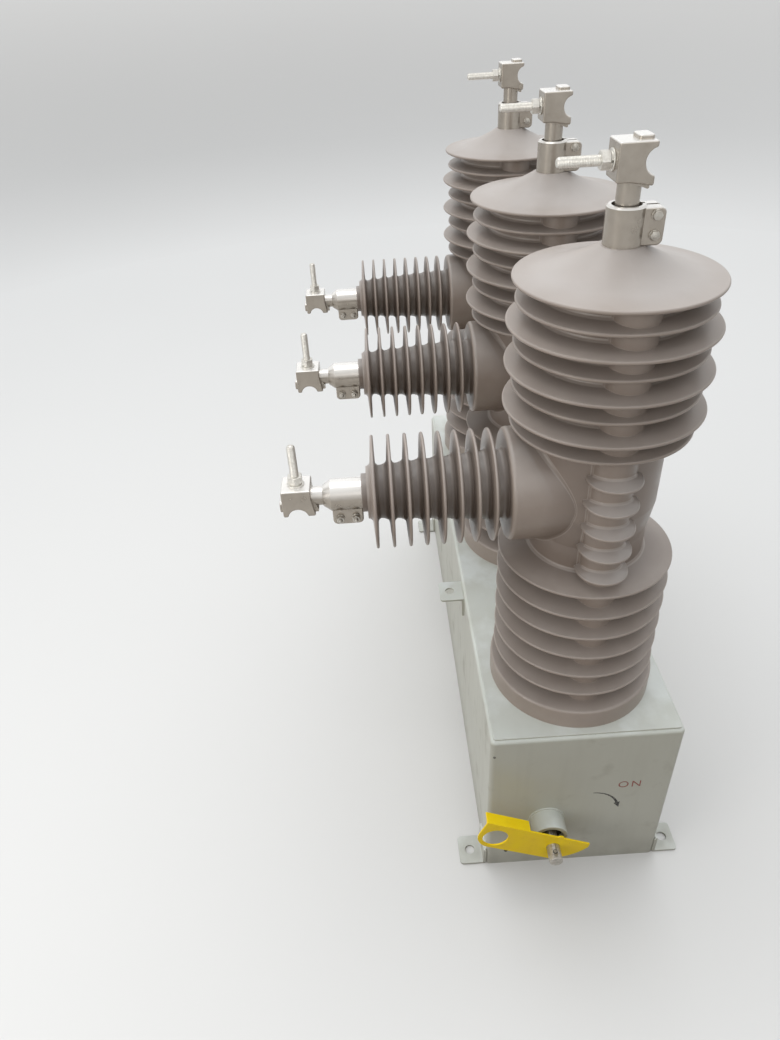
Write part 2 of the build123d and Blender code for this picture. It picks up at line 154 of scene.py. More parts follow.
class Look:
    """A principled material, with short calls for the nodes that feed it."""

    def __init__(self, name, metallic=0.0):
        self.material = bpy.data.materials.new(name)
        self.material.use_nodes = True
        self.tree = self.material.node_tree
        self.shader = self.tree.nodes["Principled BSDF"]
        self.shader.inputs["Metallic"].default_value = metallic
        self.place = self.node("ShaderNodeTexCoord").outputs["Object"]
        self.normal = self.node("ShaderNodeNewGeometry").outputs["Normal"]

    def node(self, kind, **settings):
        node = self.tree.nodes.new(kind)
        for key, value in settings.items():
            setattr(node, key, value)
        return node

    def feed(self, socket, value):
        if isinstance(value, bpy.types.NodeSocket):
            self.tree.links.new(value, socket)
        else:
            socket.default_value = value

    def noise(self, scale, detail=3.0, stretch=(1, 1, 1), shift=0.0):
        mapping = self.node("ShaderNodeMapping")
        self.feed(mapping.inputs["Vector"], self.place)
        mapping.inputs["Scale"].default_value = stretch
        mapping.inputs["Location"].default_value = (shift, shift, shift)
        texture = self.node("ShaderNodeTexNoise")
        self.feed(texture.inputs["Vector"], mapping.outputs[0])
        texture.inputs["Scale"].default_value = scale
        texture.inputs["Detail"].default_value = detail
        return texture.outputs[0]

    def cells(self, scale):
        texture = self.node("ShaderNodeTexVoronoi", feature="F1")
        self.feed(texture.inputs["Vector"], self.place)
        texture.inputs["Scale"].default_value = scale
        return texture.outputs["Distance"]

    def span(self, value, low, high, to_low=0.0, to_high=1.0):
        """value from low to high becomes to_low to to_high, clamped."""
        node = self.node("ShaderNodeMapRange")
        self.feed(node.inputs["Value"], value)
        node.inputs["From Min"].default_value = low
        node.inputs["From Max"].default_value = high
        node.inputs["To Min"].default_value = to_low
        node.inputs["To Max"].default_value = to_high
        return node.outputs["Result"]

    def zone(self, value, ends, to_low, to_high):
        """The same with the two ends of the span in millimetres."""
        return self.span(value, ends[0] * MM, ends[1] * MM, to_low, to_high)

    def calculate(self, operation, a, b):
        node = self.node("ShaderNodeMath", operation=operation)
        self.feed(node.inputs[0], a)
        self.feed(node.inputs[1], b)
        return node.outputs[0]

    def times(self, a, b):
        return self.calculate("MULTIPLY", a, b)

    def most(self, a, b):
        return self.calculate("MAXIMUM", a, b)

    def mix(self, share, a, b):
        node = self.node("ShaderNodeMix", data_type="RGBA")
        self.feed(node.inputs[0], share)
        self.feed(node.inputs[6], a)
        self.feed(node.inputs[7], b)
        return node.outputs[2]

    def part(self, vector, axis):
        node = self.node("ShaderNodeSeparateXYZ")
        self.feed(node.inputs[0], vector)
        return node.outputs[axis]

    def from_axis(self, direction, centre=0.0):
        """Metres from the nearest pole's axis with Y, or from its bushing's axis with Z."""
        half_spacing = POLE_SPACING * MM / 2
        across = self.calculate("PINGPONG", self.part(self.place, "X"), half_spacing)
        offset = self.calculate("SUBTRACT", self.part(self.place, direction), centre)
        flat = self.node("ShaderNodeCombineXYZ")
        self.feed(flat.inputs[0], across)
        self.feed(flat.inputs[1], offset)
        length = self.node("ShaderNodeVectorMath", operation="LENGTH")
        self.feed(length.inputs[0], flat.outputs[0])
        return length.outputs["Value"]

    def facing_up(self):
        return self.part(self.normal, "Z")

    def edges(self, radius, softness=0.22):
        """1 along outside and inside edges, 0 on flat and gently curved faces."""
        bevel = self.node("ShaderNodeBevel", samples=6)
        bevel.inputs["Radius"].default_value = radius
        compare = self.node("ShaderNodeVectorMath", operation="DOT_PRODUCT")
        self.feed(compare.inputs[0], bevel.outputs[0])
        self.feed(compare.inputs[1], self.normal)
        return self.span(compare.outputs["Value"], 1.0, 1.0 - softness)

    def bump(self, *layers):
        """Each layer is (height, strength, distance in metres); they add up."""
        below = None
        for height, strength, distance in layers:
            node = self.node("ShaderNodeBump")
            node.inputs["Strength"].default_value = strength
            node.inputs["Distance"].default_value = distance
            self.feed(node.inputs["Height"], height)
            if below:
                self.feed(node.inputs["Normal"], below)
            below = node.outputs[0]
        self.feed(self.shader.inputs["Normal"], below)

    def finish(self, colour, roughness):
        self.feed(self.shader.inputs["Base Color"], colour)
        self.feed(self.shader.inputs["Roughness"], roughness)
        return self.material


def epoxy_look():
    """Cast epoxy: warm grey-brown and satin, with painted shade in the recesses between the
    sheds, dusty and painted lighter by the sky on faces that look up, most on the caps and the
    half-moon sheds, and with a painted highlight along rims and roots."""
    look = Look("epoxy")
    height = look.part(look.place, "Z")
    cloud = look.noise(7, 4)
    patch = look.noise(38, 4, shift=3.0)
    body = look.mix(look.span(cloud, 0.3, 0.7), srgb(149, 136, 126), srgb(161, 148, 138))
    body = look.mix(look.span(patch, 0.45, 0.75, 0.0, 0.30), body, srgb(170, 158, 149))
    grime = look.span(look.noise(24, 5, shift=9.0), 0.60, 0.78, 0.0, 0.10)
    body = look.mix(grime, body, srgb(116, 103, 92))
    from_pole = look.from_axis("Y")
    from_bushing = look.from_axis("Z", BUSHING_HEIGHT * MM)
    cap = CAP_RIM * MM
    boss_end = -BOSS_REACH * MM
    # Painted shade: darker close to each pole's axis below the cap rim and close to each bushing's
    # axis beyond the boss's end, in the recesses between the sheds where shade falls.
    inner = look.times(
        look.zone(from_pole, POLE_RECESS_SHADE, 0.46, 0.0),
        look.span(height, cap, cap + 0.005, 1.0, 0.0),
    )
    outer = look.times(
        look.zone(from_bushing, BUSHING_RECESS_SHADE, 0.46, 0.0),
        look.span(look.part(look.place, "Y"), boss_end - 0.005, boss_end, 1.0, 0.0),
    )
    body = look.mix(look.most(inner, outer), body, srgb(98, 84, 74))
    # Dust and painted sky light: faces that look up are lighter, more above the cap rim and on the
    # half-moon sheds, unevenly.
    upward = look.span(look.facing_up(), 0.15, 0.95)
    dust_and_top_light = look.times(upward, look.span(height, cap, cap + 0.01, 0.16, 0.46))
    ribs = look.times(upward, look.zone(from_pole, HALF_MOON_EDGE, 0.0, 0.36))
    ribs = look.times(ribs, look.zone(height, HALF_MOON_BAND_HIGH, 1.0, 0.0))
    ribs = look.times(ribs, look.zone(height, HALF_MOON_BAND_LOW, 0.0, 1.0))
    uneven = look.span(look.noise(11, 4, shift=5.0), 0.25, 0.7, 0.65, 1.0)
    dust_and_top_light = look.times(look.most(dust_and_top_light, ribs), uneven)
    body = look.mix(dust_and_top_light, body, srgb(204, 202, 201))
    # Painted highlight: rims and roots are lightened along their edges.
    colour = look.mix(look.times(look.edges(0.003, 0.3), 0.34), body, srgb(186, 177, 169))
    look.bump(
        (look.noise(40, 1, shift=1.0), 0.06, 0.0015),
        (look.noise(90, 1), 0.04, 0.0005),
    )
    roughness = look.span(patch, 0.3, 0.7, 0.29, 0.40)
    return look.finish(colour, roughness)


def housing_look():
    """Semi-gloss pale grey-green paint with smudges and worn edges, dusty and painted lighter by
    the sky on faces that look up, and darker towards the bottom with splashed dirt and painted
    shade.
    """
    look = Look("housing_paint")
    height = look.part(look.place, "Z")
    cloud = look.noise(5, 4)
    body = look.mix(look.span(cloud, 0.3, 0.7), srgb(183, 183, 171), srgb(192, 193, 182))
    streaks = look.span(look.noise(9, 4, stretch=(6, 6, 0.5)), 0.5, 0.8, 0.0, 0.10)
    body = look.mix(streaks, body, srgb(140, 136, 122))
    smudge = look.span(look.noise(17, 5, shift=4.0), 0.6, 0.74, 0.0, 0.28)
    body = look.mix(smudge, body, srgb(134, 128, 115))
    # Dust and painted top light: faces that look up are lighter.
    dust_and_top_light = look.times(
        look.span(look.facing_up(), 0.1, 0.9, 0.0, 0.85),
        look.span(look.noise(13, 5, shift=2.0), 0.25, 0.7, 0.6, 1.0),
    )
    body = look.mix(dust_and_top_light, body, srgb(209, 213, 207))
    stains = look.times(
        look.span(look.facing_up(), 0.6, 1.0, 0.0, 0.55),
        look.span(look.noise(10, 6, shift=14.0), 0.48, 0.60),
    )
    body = look.mix(stains, body, srgb(228, 233, 231))
    # Splashed dirt and painted shade: darker towards the bottom.
    splash_and_shade = look.times(
        look.zone(height, SPLASH_AND_SHADE, 0.5, 0.0),
        look.span(look.noise(26, 5), 0.20, 0.65, 0.2, 1.0),
    )
    body = look.mix(splash_and_shade, body, srgb(134, 130, 120))
    specks = look.span(look.cells(70), 0.05, 0.02, 0.0, 1.0)
    specks = look.times(specks, look.span(look.noise(6, 2, shift=8.0), 0.52, 0.6))
    body = look.mix(look.times(specks, 0.5), body, srgb(105, 96, 84))
    worn = look.times(look.edges(0.0012), look.span(look.noise(55, 4), 0.56, 0.66, 0.0, 0.7))
    colour = look.mix(worn, body, srgb(118, 104, 90))
    look.bump(
        (look.noise(28, 2, shift=6.0), 0.12, 0.0012),
        (look.noise(420, 2), 0.10, 0.0003),
    )
    roughness = look.span(look.most(smudge, streaks), 0.0, 0.25, 0.36, 0.5)
    return look.finish(colour, roughness)


def tinned_look():
    """Tinned castings: grey silver with a beige bloom, whitened by a painted sky reflection where
    they face up, and with a painted highlight on the edges.
    """
    look = Look("tinned_metal", metallic=0.6)
    bloom = look.noise(60, 4)
    body = look.mix(look.span(bloom, 0.35, 0.65), srgb(174, 166, 155), srgb(165, 157, 146))
    dull = look.span(look.noise(90, 3, shift=2.0), 0.56, 0.76, 0.0, 0.25)
    body = look.mix(dull, body, srgb(142, 132, 120))
    # Painted reflection of the sky: faces that look up are whitened.
    body = look.mix(look.span(look.facing_up(), 0.15, 0.85, 0.0, 0.95), body, srgb(250, 248, 245))
    # Painted highlight along the edges.
    colour = look.mix(look.times(look.edges(0.0008), 0.45), body, srgb(222, 219, 213))
    look.bump(
        (look.noise(150, 1), 0.05, 0.0003),
        (look.noise(50, 1, shift=5.0), 0.05, 0.0010),
    )
    return look.finish(colour, look.span(bloom, 0.3, 0.7, 0.20, 0.28))


def steel_look(name, pale, dark, stretch):
    """Bright plated or turned steel, with faint marks along one direction."""
    look = Look(name, metallic=0.85)
    marks = look.noise(300, 3, stretch=stretch)
    body = look.mix(look.span(marks, 0.35, 0.65), srgb(*pale), srgb(*dark))
    stain = look.span(look.noise(120, 4, shift=7.0), 0.6, 0.76, 0.0, 0.25)
    colour = look.mix(stain, body, srgb(140, 122, 100))
    look.bump((marks, 0.04, 0.0002))
    return look.finish(colour, look.span(marks, 0.3, 0.7, 0.32, 0.46))


def yellow_look():
    """Gloss yellow enamel with a painted highlight along the edges, and here and there rubbed
    through.
    """
    look = Look("yellow_paint")
    cloud = look.noise(40, 3)
    body = look.mix(look.span(cloud, 0.3, 0.7), srgb(246, 210, 4), srgb(250, 217, 12))
    dirt = look.span(look.noise(75, 5, shift=3.0), 0.56, 0.76, 0.0, 0.14)
    body = look.mix(dirt, body, srgb(188, 154, 22))
    edges = look.edges(0.0011)
    # Painted highlight: the edges are lightened to a bright yellow.
    body = look.mix(look.times(edges, 0.5), body, srgb(255, 234, 84))
    worn = look.times(edges, look.span(look.noise(130, 4), 0.56, 0.66, 0.0, 0.6))
    flakes = look.noise(95, 4, shift=11.0)
    chips = look.span(flakes, 0.72, 0.75, 0.0, 0.8)
    colour = look.mix(look.most(worn, chips), body, srgb(104, 90, 66))
    look.bump(
        (look.noise(60, 2), 0.10, 0.0010),
        (look.span(flakes, 0.72, 0.75, 1.0, 0.0), 0.3, 0.0002),
    )
    look.shader.inputs["Specular IOR Level"].default_value = 0.3
    return look.finish(colour, look.span(cloud, 0.3, 0.7, 0.34, 0.46))


def rubber_look():
    """Dull dark rubber."""
    look = Look("seal_rubber")
    grain = look.noise(240, 3)
    colour = look.mix(look.span(grain, 0.3, 0.7), srgb(24, 23, 22), srgb(44, 42, 39))
    look.bump((grain, 0.2, 0.0003))
    return look.finish(colour, look.span(grain, 0.3, 0.7, 0.55, 0.75))


def marking_look(name, ink):
    """Thin paint of one colour, worn in places to a paler ground."""
    look = Look(name)
    thin = look.span(look.noise(260, 4), 0.52, 0.70, 0.0, 0.8)
    colour = look.mix(thin, ink, srgb(158, 156, 146))
    look.bump((look.noise(420, 2), 0.1, 0.0002))
    return look.finish(colour, look.span(thin, 0.0, 0.8, 0.45, 0.6))


LOOKS = {
    "epoxy": epoxy_look(),
    "housing_paint": housing_look(),
    "tinned_metal": tinned_look(),
    "stud_steel": steel_look("stud_steel", (230, 228, 222), (214, 211, 204), (1, 1, 1)),
    "shaft_steel": steel_look("shaft_steel", (196, 192, 184), (156, 151, 143), (6, 0.4, 0.4)),
    "yellow_paint": yellow_look(),
    "seal_rubber": rubber_look(),
}
RED_INK = marking_look("red_ink", srgb(138, 68, 56))
BLACK_INK = marking_look("black_ink", srgb(40, 38, 35))
GREY_PLUG = marking_look("grey_plug", srgb(112, 110, 102))


# Meshes: points in millimetres, given row by row

class Shape:
    """A mesh in the making."""

    def __init__(self):
        self.points = []
        self.faces = []

    def rows(self, rows, around=True, closed=False, caps=False):
        """Faces between rows of points. around joins each row's ends, closed joins the
        last row to the first, and caps fills the first and last rows."""
        start = len(self.points)
        width = len(rows[0])
        for row in rows:
            self.points.extend(Vector(p) for p in row)
        for i in range(len(rows) if closed else len(rows) - 1):
            here = start + i * width
            there = start + (i + 1) % len(rows) * width
            for j in range(width if around else width - 1):
                k = (j + 1) % width
                self.faces.append((here + j, here + k, there + k, there + j))
        if caps:
            last = start + (len(rows) - 1) * width
            self.faces.append(tuple(start + j for j in reversed(range(width))))
            self.faces.append(tuple(last + j for j in range(width)))

    def lathe(self, profile, place=Matrix(), steps=96, closed=False, caps=False):
        """Turns (radius, height) points about the local Z of place."""
        turns = [2 * pi * j / steps for j in range(steps)]
        rows = [[place @ Vector((r * cos(t), r * sin(t), h)) for t in turns] for r, h in profile]
        self.rows(rows, closed=closed, caps=caps)

    def piece(self, name, body, slot, look=None, sharp=35):
        """The finished object, which rides on a body."""
        same_place = 1e-7
        mesh = bpy.data.meshes.new(name)
        mesh.from_pydata([p * MM for p in self.points], [], self.faces)
        work = bmesh.new()
        work.from_mesh(mesh)
        bmesh.ops.remove_doubles(work, verts=work.verts, dist=same_place)
        bmesh.ops.dissolve_degenerate(work, edges=work.edges, dist=same_place)
        bmesh.ops.recalc_face_normals(work, faces=work.faces)
        work.to_mesh(mesh)
        work.free()
        mesh.shade_smooth()
        mesh.set_sharp_from_angle(angle=radians(sharp))
        return attach(bpy.data.objects.new(name, mesh), body, slot, look)


def attach(piece, body, slot, look=None):
    """Gives a new object its place in the scene, its look (the slot's unless one is given) and its
    body.
    """
    scene.collection.objects.link(piece)
    piece.data.materials.clear()
    piece.data.materials.append(look or LOOKS[slot])
    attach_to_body(piece, body)
    return piece


def frame_matrix(origin, x_axis, z_axis):
    """A local frame in millimetres: columns X, Z x X, Z and the origin."""
    x_axis, z_axis = Vector(x_axis), Vector(z_axis)
    turn = Matrix((x_axis, z_axis.cross(x_axis), z_axis)).transposed().to_4x4()
    return Matrix.Translation(Vector(origin)) @ turn


def round_bead(corner, along_a, along_b, radius):
    """Section of a fillet in the corner between two straight lines. Its first point lies a
    little beyond the corner, inside the body."""
    steps = 4
    sink = 0.6
    corner, a, b = Vector(corner), Vector(along_a).normalized(), Vector(along_b).normalized()
    half = a.angle(b) / 2
    middle = (a + b).normalized()
    centre = corner + middle * radius / sin(half)
    start = corner + a * radius / tan(half) - centre
    end = corner + b * radius / tan(half) - centre
    arc = [centre + start.slerp(end, i / steps, start) * radius for i in range(steps + 1)]
    return [corner - middle * sink] + arc


# Camera, backdrop and light

def make_camera():
    data = bpy.data.cameras.new("photo_camera")
    data.sensor_fit = "AUTO"
    data.sensor_width = SENSOR_WIDTH
    data.lens = FOCAL_PIXELS * SENSOR_WIDTH / PHOTO_HEIGHT
    data.clip_start = 0.02
    data.clip_end = 60.0
    camera = bpy.data.objects.new("photo_camera", data)
    scene.collection.objects.link(camera)
    axes = Matrix((CAMERA_RIGHT, -CAMERA_DOWN, -CAMERA_FORWARD)).transposed()
    camera.matrix_world = Matrix.Translation(CAMERA_PLACE) @ axes.to_4x4()
    scene.camera = camera


def backdrop_look(name, opening):
    """Pale paper for what the camera and the mirrors see. For the soft light the floor
    is darker, and with opening set the wall lets the sky through and fades out on top."""
    look = Look(name)
    tone = look.mix(look.noise(0.6, 2), srgb(211, 210, 208), srgb(216, 215, 213))
    ray = look.node("ShaderNodeLightPath").outputs
    seen = look.most(ray["Is Camera Ray"], ray["Is Glossy Ray"])
    seen = look.most(seen, ray["Is Transmission Ray"])
    look.bump((look.noise(180, 2), 0.05, 0.0004))
    look.finish(look.mix(seen, srgb(104, 91, 77), tone), 0.9)
    if opening:
        fade = look.zone(look.part(look.place, "Z"), WALL_FADE, 1.0, 0.0)
        seen = look.times(seen, fade)
        clear = look.node("ShaderNodeBsdfTransparent")
        choose = look.node("ShaderNodeMixShader")
        look.feed(choose.inputs[0], seen)
        look.feed(choose.inputs[1], clear.outputs[0])
        look.feed(choose.inputs[2], look.shader.outputs[0])
        look.feed(look.tree.nodes["Material Output"].inputs["Surface"], choose.outputs[0])
    return look.material


def make_backdrop():
    """A flat round floor, and a low wall that curves up from its edge."""
    flat_radius, curve_radius = 3.6, 2.4
    around, curve_steps = 128, 24
    floor = [(0.02, 0.0), (1.5, 0.0), (flat_radius, 0.0)]
    wall = []
    for i in range(curve_steps + 1):
        turn = i / curve_steps * pi / 2
        wall.append((flat_radius + curve_radius * sin(turn), curve_radius * (1 - cos(turn))))
    for name, profile, opening in (("studio_floor", floor, False), ("studio_wall", wall, True)):
        shape = Shape()
        shape.lathe([(r / MM, z / MM) for r, z in profile], steps=around)
        if profile is floor:
            # one face fills the middle, inside the first ring of points
            shape.faces.append(tuple(range(around)))
        mesh = bpy.data.meshes.new(name)
        mesh.from_pydata([p * MM for p in shape.points], [], shape.faces)
        mesh.shade_smooth()
        mesh.materials.append(backdrop_look(name, opening))
        piece = bpy.data.objects.new(name, mesh)
        scene.collection.objects.link(piece)


def area_light(name, place, target, size, power, colour):
    data = bpy.data.lights.new(name, "AREA")
    data.shape = "DISK"
    data.size = size
    data.energy = power
    data.color = colour
    lamp = bpy.data.objects.new(name, data)
    scene.collection.objects.link(lamp)
    lamp.location = place
    lamp.rotation_euler = (Vector(target) - Vector(place)).to_track_quat("-Z", "Y").to_euler()


def make_sky():
    """An overcast sky for the light, brighter overhead and behind the object. The camera,
    the mirrors and clear things see plain pale paper there instead."""
    world = bpy.data.worlds.new("studio")
    scene.world = world
    world.use_nodes = True
    nodes, links = world.node_tree.nodes, world.node_tree.links
    place = nodes.new("ShaderNodeTexCoord")
    toward = nodes.new("ShaderNodeVectorMath")
    toward.operation = "DOT_PRODUCT"
    toward.inputs[1].default_value = SKY_TOWARDS
    links.new(place.outputs["Generated"], toward.inputs[0])
    glow = nodes.new("ShaderNodeMapRange")
    glow.inputs["From Min"].default_value, glow.inputs["From Max"].default_value = SKY_SPREAD
    glow.inputs["To Min"].default_value, glow.inputs["To Max"].default_value = SKY_STRENGTH
    links.new(toward.outputs["Value"], glow.inputs["Value"])
    background = nodes["Background"]
    background.inputs["Color"].default_value = (0.95, 0.975, 1, 1)
    links.new(glow.outputs["Result"], background.inputs["Strength"])
    plain = nodes.new("ShaderNodeBackground")
    plain.inputs["Color"].default_value = srgb(245, 245, 244)
    ray = nodes.new("ShaderNodeLightPath")
    seen = ray.outputs["Is Camera Ray"]
    for kind in ("Is Glossy Ray", "Is Transmission Ray"):
        either = nodes.new("ShaderNodeMath")
        either.operation = "MAXIMUM"
        links.new(seen, either.inputs[0])
        links.new(ray.outputs[kind], either.inputs[1])
        seen = either.outputs[0]
    choose = nodes.new("ShaderNodeMixShader")
    links.new(seen, choose.inputs[0])
    links.new(background.outputs[0], choose.inputs[1])
    links.new(plain.outputs[0], choose.inputs[2])
    links.new(choose.outputs[0], nodes["World Output"].inputs["Surface"])


def make_lights():
    make_sky()
    area_light("overhead", place=(-0.3, -0.5, 3.6), target=(0.2, 0, 0.5),
               size=2.0, power=18, colour=(1, 0.985, 0.96))
    area_light("side", place=(1.9, -2.6, 1.5), target=(0.3, 0, 0.5),
               size=1.6, power=21, colour=(1, 0.96, 0.91))
    area_light("front", place=(3.0, 0.5, 2.2), target=(0.5, 0, 0.25),
               size=1.8, power=9, colour=(1, 0.98, 0.96))


make_camera()
make_backdrop()
make_lights()
scene.view_settings.view_transform = "Standard"


# The solids keep their shapes and take their finish. Some get small rounded edges, whose
# widths are in millimetres

CORNERS = ("front_left", "front_right", "back_left", "back_right")
WELD_DISTANCE = 5e-5
SHARP_ABOVE = radians(40)
ROUNDED = {"handle_lever": 0.7, "handle_shaft": 0.4}
for corner in CORNERS:
    ROUNDED[f"foot_{corner}"] = 0.7
    ROUNDED[f"lug_{corner}"] = 0.7

for row in frame["record"]["subparts"]:
    node = frame["nodes"][row["node"]]
    node.data.materials.clear()
    node.data.materials.append(LOOKS[row["material_slot"]])
    if row["node"] in ROUNDED:
        weld = node.modifiers.new("weld", "WELD")
        weld.merge_threshold = WELD_DISTANCE
        rounding = node.modifiers.new("rounding", "BEVEL")
        rounding.width = ROUNDED[row["node"]] * MM
        rounding.segments = 2
        rounding.use_clamp_overlap = False
        rounding.limit_method = "ANGLE"
        rounding.angle_limit = SHARP_ABOVE
        rounding.harden_normals = True


# Poles: rounded roots where sheds, ribs and boss meet the body

def column_radius(height):
    """The radius of the pole's body, which widens over the taper."""
    share = min(max((height - TAPER_FROM) / (TAPER_TO - TAPER_FROM), 0.0), 1.0)
    return LOWER_CORE + share * (UPPER_CORE - LOWER_CORE)


def shed_roots(shape, place, core, rim, radius, lip, rise, fillets, steps=96):
    """The two fillets of one shed, turned about place."""
    top_radius, under_radius = fillets
    round_from = radius - lip / 2
    high, low = Vector((core, rim + lip + rise)), Vector((core, rim - rise / 3))
    over = round_bead(high, (0, 1), Vector((round_from, rim + lip)) - high, top_radius)
    under = round_bead(low, (0, -1), Vector((round_from, rim)) - low, under_radius)
    shape.lathe(over, place, steps, closed=True)
    shape.lathe(under, place, steps, closed=True)


def boss_root(shape, pole_x):
    """The fillet that a rolling ball leaves between the boss and the column."""
    ball = BOSS_ROOT_FILLET
    steps = 128
    tries = 20
    arc_steps = 7
    sink = 2
    rows = []
    for j in range(steps):
        turn = 2 * pi * j / steps
        out_x, out_z = cos(turn), sin(turn)
        x = (BOSS_RADIUS + ball) * out_x
        z = BUSHING_HEIGHT + (BOSS_RADIUS + ball) * out_z
        reach, touch = 0.0, 0.0
        for i in range(-tries, tries + 1):
            step = i / tries * ball
            there = column_radius(z + step) + sqrt(ball * ball - step * step)
            if there > reach:
                reach, touch = there, step
        y = -sqrt(reach * reach - x * x)
        centre = Vector((x, y, z))
        level = sqrt(1 - (touch / ball) ** 2)
        to_boss = Vector((-out_x, 0, -out_z))
        to_column = Vector((-x / reach * level, -y / reach * level, touch / ball))
        half = to_boss.angle(to_column) / 2
        arc = [to_boss.slerp(to_column, i / arc_steps) for i in range(arc_steps + 1)]
        back = (to_boss + to_column).normalized() * (ball / cos(half) + sink)
        row = [centre + back] + [centre + direction * ball for direction in arc]
        rows.append([p + Vector((pole_x, 0, 0)) for p in row])
    shape.rows(rows, closed=True)


def rib_roots(shape, pole_x):
    """Fillets along both sides of both ribs, which follow the column's taper."""
    ball = RIB_FILLET
    arc_steps = 5
    sink = 4
    overlap = 2
    for x_side in (-1, 1):
        for y_side in (-1, 1):
            rows = []
            for height in (BASE_TOP - overlap, TAPER_FROM, TAPER_TO, CAP_RIM + overlap):
                column = column_radius(height)
                far, near = column + ball, RIB_RADIUS + ball
                x = (RIB_OFFSET ** 2 + far ** 2 - near ** 2) / (2 * RIB_OFFSET)
                centre = Vector((x, sqrt(far ** 2 - x ** 2), 0))
                rib = Vector((RIB_OFFSET, 0, 0))
                to_column = -centre.normalized()
                to_rib = (rib - centre).normalized()
                back = (to_column + to_rib).normalized() * (ball + sink)
                row = [centre + back]
                for i in range(arc_steps + 1):
                    row.append(centre + to_column.slerp(to_rib, i / arc_steps) * ball)
                rows.append([(pole_x + x_side * p.x, y_side * p.y, height) for p in row])
            shape.rows(rows, caps=True)


def half_moon_roots(shape, pole_x, x_side, rim):
    """Fillets round the rib's front, above and below one half-moon shed."""
    top_radius, under_radius = HALF_MOON_FILLETS
    steps = 20
    sweep = 144
    round_from = HALF_MOON_RADIUS - SHED_LIP / 2
    core = RIB_OFFSET + RIB_RADIUS - HALF_MOON_OFFSET
    slope = HALF_MOON_RISE / (round_from - core)
    above, below = [], []
    for j in range(steps + 1):
        turn = radians(sweep * j / steps - sweep / 2)
        out_x, out_y = cos(turn), sin(turn)
        x, y = RIB_OFFSET + RIB_RADIUS * out_x - HALF_MOON_OFFSET, RIB_RADIUS * out_y
        from_axis = hypot(x, y)
        fall = slope * (x * out_x + y * out_y) / from_axis
        high = Vector((RIB_RADIUS, rim + SHED_LIP + slope * (round_from - from_axis)))
        over = round_bead(high, (0, 1), (1, -fall), top_radius)
        under = round_bead((RIB_RADIUS, rim), (0, -1), (1, 0), under_radius)
        for rows, section in ((above, over), (below, under)):
            rows.append([
                (pole_x + x_side * (RIB_OFFSET + p.x * out_x), p.x * out_y, p.y) for p in section
            ])
    shape.rows(above, caps=True)
    shape.rows(below, caps=True)


def pole_roots(name, pole_x):
    """All rounded roots of one pole, as one piece."""
    shape = Shape()
    upright = Matrix.Translation((pole_x, 0, 0))
    outward = frame_matrix((pole_x, 0, BUSHING_HEIGHT), (1, 0, 0), (0, -1, 0))
    bushing_steps = 72
    for rim in LOWER_SHEDS:
        fillets = LAST_LOWER_FILLETS if rim == LOWER_SHEDS[-1] else LOWER_FILLETS
        shed_roots(shape, upright, LOWER_CORE, rim, LOWER_SHED_RADIUS, SHED_LIP,
                   LOWER_SHED_RISE, fillets)
    for rim, radius in zip(UPPER_SHEDS, UPPER_SHED_RADII):
        shed_roots(shape, upright, UPPER_CORE, rim, radius, SHED_LIP,
                   UPPER_SHED_RISE, UPPER_FILLETS)
    for front, core in zip(BUSHING_SHEDS, BUSHING_CORES):
        shed_roots(shape, outward, core, front - BUSHING_SHED_LIP, BUSHING_SHED_RADIUS,
                   BUSHING_SHED_LIP, BUSHING_SHED_RISE, BUSHING_FILLETS, bushing_steps)
    boss_end = round_bead((BUSHING_CORES[0], BOSS_REACH), (0, 1), (1, 0), BOSS_END_FILLET)
    shape.lathe(boss_end, outward, bushing_steps, closed=True)
    for x_side in (-1, 1):
        for rim in HALF_MOONS:
            half_moon_roots(shape, pole_x, x_side, rim)
    boss_root(shape, pole_x)
    rib_roots(shape, pole_x)
    shape.piece(f"pole_{name}_rounded_roots", "breaker", "epoxy", sharp=60)


# Threads, nuts and washers

def thread(shape, place, length, radius, pitch, steps=24):
    """A thread whose rows of points follow the helix, with a domed tip."""
    depth = 0.28 * pitch
    tip = 0.6 * radius
    length -= tip
    profile = (0.0, 0.55, 1.0, 1.0, 0.55, 0.0)
    per_turn = len(profile)
    rows = int(length / pitch * per_turn) + per_turn
    root = radius - depth
    grid = []
    for i in range(-per_turn, rows):
        line = []
        for j in range(steps + 1):
            height = pitch * (i / per_turn + j / steps)
            crest = profile[i % per_turn]
            room = max(0.0, min((length - height) / (1.5 * depth), height / depth))
            outer = root + depth * min(crest, room)
            turn = 2 * pi * j / steps
            height = min(max(height, 0.0), length)
            line.append(place @ Vector((outer * cos(turn), outer * sin(turn), height)))
        grid.append(line)
    shape.rows(grid, around=False, caps=True)
    core = root - 0.2
    shoulder = root + 0.3 * depth
    dome = [(core, 0.4), (core, length - 2 * depth), (shoulder, length - depth)]
    dome_steps = 6
    for i in range(dome_steps + 1):
        turn = i / dome_steps * radians(88)
        dome.append((shoulder * cos(turn), length + tip * sin(turn)))
    shape.lathe(dome, place, steps, caps=True)


def hex_ring(shape, place, across, height, bore, chamfer_low=True, steps=72):
    """A hexagon nut or head whose corners are turned off to a cone."""
    flat = across / 2
    turned = flat * 0.97
    slope = tan(radians(30))
    rows = [[], [], [], [], [], []]
    for j in range(steps):
        turn = 2 * pi * j / steps
        corner = flat / cos((turn % (pi / 3)) - pi / 6)
        drop = (corner - turned) * slope
        low = drop if chamfer_low else 0.0
        sizes = (
            (bore, 0.0),
            (turned, 0.0),
            (corner, low),
            (corner, height - drop),
            (turned, height),
            (bore, height),
        )
        for row, (r, h) in zip(rows, sizes):
            row.append(place @ Vector((r * cos(turn), r * sin(turn), h)))
    shape.rows(rows, closed=True)


